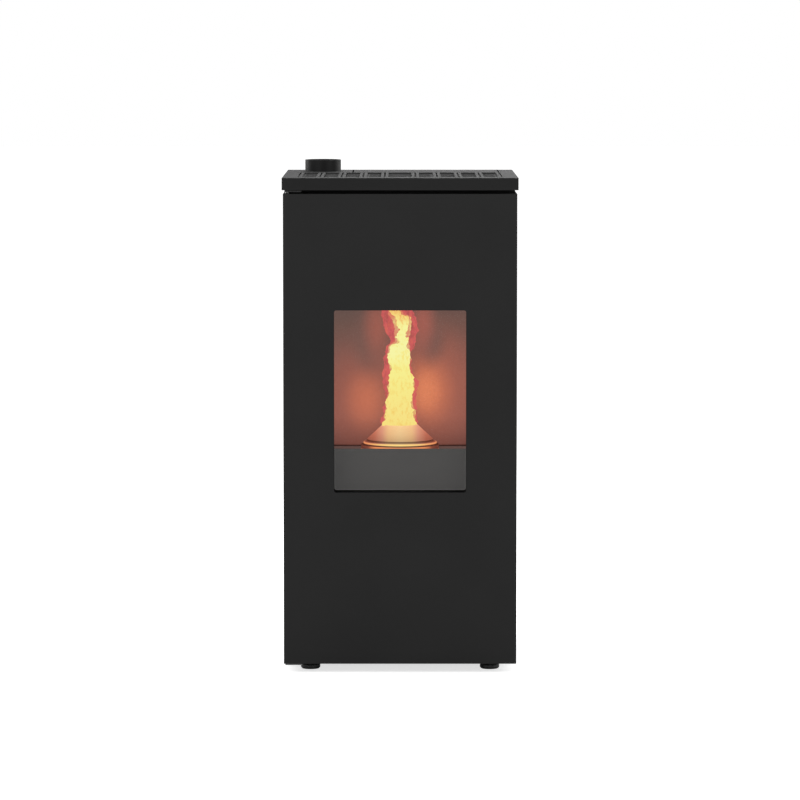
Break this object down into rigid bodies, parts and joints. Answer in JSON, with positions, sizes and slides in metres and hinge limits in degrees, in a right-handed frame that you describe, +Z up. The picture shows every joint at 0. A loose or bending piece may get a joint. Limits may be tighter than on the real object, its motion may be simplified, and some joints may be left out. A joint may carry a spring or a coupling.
{
  "type": "pellet stove",
  "caption": "Slim freestanding pellet stove with a full-height glazed door, bell burner, ash drawer, slotted warm-air top, hopper lid and top flue collar.",
  "frame": {"origin": "middle of the footprint, on the floor that the feet stand on", "axes": "+X to the right seen from the front, +Y to the back, +Z up"},
  "size_m": [0.505, 0.5624, 1.0905],
  "materials": {
    "black_powder_coat": "fine satin powder coat",
    "heat_paint": "matt heat-resistant paint",
    "grey_heat_paint": "matt grey heat-resistant paint",
    "galvanised_steel": "zinc coated",
    "bright_steel": "turned",
    "cast_iron": "as cast, heat stained",
    "vermiculite": "pressed board, matt",
    "glass_fibre_rope": "knitted rope",
    "silicone": "matt",
    "black_plastic": "moulded, fine grain",
    "cast_aluminium": "cast",
    "ceramic_glass": "clear heat-resistant glass"
  },
  "bodies": {
    "stove_body": {"base_pan": "galvanised_steel", "left_side_panel": "black_powder_coat", "right_side_panel": "black_powder_coat", "rear_panel": "heat_paint", "front_frame": "heat_paint", "warm_air_deck": "heat_paint", "outlet_guard": "heat_paint", "top_plate": "black_powder_coat", "lid_hinge_pin": "bright_steel", "upper_hinge": "galvanised_steel", "lower_hinge": "galvanised_steel", "catch_body": "galvanised_steel", "firebox_shell": "heat_paint", "back_liner": "vermiculite", "left_liner": "vermiculite", "right_liner": "vermiculite", "baffle": "vermiculite", "hearth_plate": "cast_iron", "burn_pot": "cast_iron", "flame_bell": "cast_iron", "igniter": "bright_steel", "ash_drawer": "grey_heat_paint", "smoke_box": "heat_paint", "smoke_duct": "heat_paint", "smoke_fan_housing": "galvanised_steel", "smoke_fan_motor": "cast_aluminium", "flue_pipe": "galvanised_steel", "flue_collar": "black_powder_coat", "air_intake_pipe": "galvanised_steel", "pellet_hopper": "galvanised_steel", "hopper_funnel": "galvanised_steel", "hopper_throat": "galvanised_steel", "lid_seal": "silicone", "pellet_chute": "heat_paint", "auger_tube": "galvanised_steel", "auger_gearmotor": "cast_aluminium", "room_fan_housing": "galvanised_steel", "room_fan_motor": "cast_aluminium", "control_box": "black_plastic", "socket_module": "black_plastic"},
    "front_door": {"door_skin": "black_powder_coat", "door_inner_frame": "heat_paint", "door_glass": "ceramic_glass", "glass_gasket": "glass_fibre_rope", "glass_retainer_left": "heat_paint", "glass_retainer_right": "heat_paint", "door_gasket": "glass_fibre_rope", "catch_tongue": "bright_steel"},
    "lid": {"hopper_lid": "black_powder_coat"},
    "auger": {"auger_screw": "bright_steel"},
    "smoke_fan": {"smoke_fan_rotor": "bright_steel"},
    "room_fan": {"room_fan_rotor": "cast_aluminium"},
    "roller_upper": {"catch_roller_upper": "bright_steel"},
    "roller_lower": {"catch_roller_lower": "bright_steel"},
    "rocker": {"power_rocker": "black_plastic"},
    "button": {"standby_button": "black_plastic"},
    "foot_fl": {"foot_front_left": "black_plastic"},
    "foot_fr": {"foot_front_right": "black_plastic"},
    "foot_rl": {"foot_rear_left": "black_plastic"},
    "foot_rr": {"foot_rear_right": "black_plastic"}
  },
  "joints": [
    {"name": "door_hinge", "type": "hinge", "parent": "stove_body", "child": "front_door", "pos_m": [-0.241, -0.26075, 0.5], "axis": [0, 0, -1], "range_deg": [0, 110]},
    {"name": "lid_hinge", "type": "hinge", "parent": "stove_body", "child": "lid", "pos_m": [0.057, 0.25125, 1.0565], "axis": [-1, 0, 0], "range_deg": [0, 80]},
    {"name": "auger_turn", "type": "hinge", "parent": "stove_body", "child": "auger", "pos_m": [0, 0.17125, 0.5], "axis": [0, -0.5, 0.866], "continuous": true},
    {"name": "smoke_fan_turn", "type": "hinge", "parent": "stove_body", "child": "smoke_fan", "pos_m": [-0.14, 0.17, 0.3], "axis": [0, 1, 0], "continuous": true},
    {"name": "room_fan_turn", "type": "hinge", "parent": "stove_body", "child": "room_fan", "pos_m": [0, 0.05125, 0.17], "axis": [1, 0, 0], "continuous": true},
    {"name": "roller_upper_turn", "type": "hinge", "parent": "stove_body", "child": "roller_upper", "pos_m": [0.234, -0.25475, 0.6083], "axis": [1, 0, 0], "continuous": true},
    {"name": "roller_lower_turn", "type": "hinge", "parent": "stove_body", "child": "roller_lower", "pos_m": [0.234, -0.25475, 0.5917], "axis": [1, 0, 0], "continuous": true},
    {"name": "rocker_tip", "type": "hinge", "parent": "stove_body", "child": "rocker", "pos_m": [0.2, 0.25225, 0.101], "axis": [-1, 0, 0], "range_deg": [0, 12]},
    {"name": "button_press", "type": "slide", "parent": "stove_body", "child": "button", "axis": [0, 1, 0], "range_m": [-0.002, 0], "stiffness_N_per_m": 400},
    {"name": "foot_fl_turn", "type": "hinge", "parent": "stove_body", "child": "foot_fl", "pos_m": [-0.194, -0.20575, 0.02], "axis": [0, 0, 1], "continuous": true},
    {"name": "foot_fr_turn", "type": "hinge", "parent": "stove_body", "child": "foot_fr", "pos_m": [0.194, -0.20575, 0.02], "axis": [0, 0, 1], "continuous": true},
    {"name": "foot_rl_turn", "type": "hinge", "parent": "stove_body", "child": "foot_rl", "pos_m": [-0.194, 0.20125, 0.02], "axis": [0, 0, 1], "continuous": true},
    {"name": "foot_rr_turn", "type": "hinge", "parent": "stove_body", "child": "foot_rr", "pos_m": [0.194, 0.20125, 0.02], "axis": [0, 0, 1], "continuous": true}
  ]
}
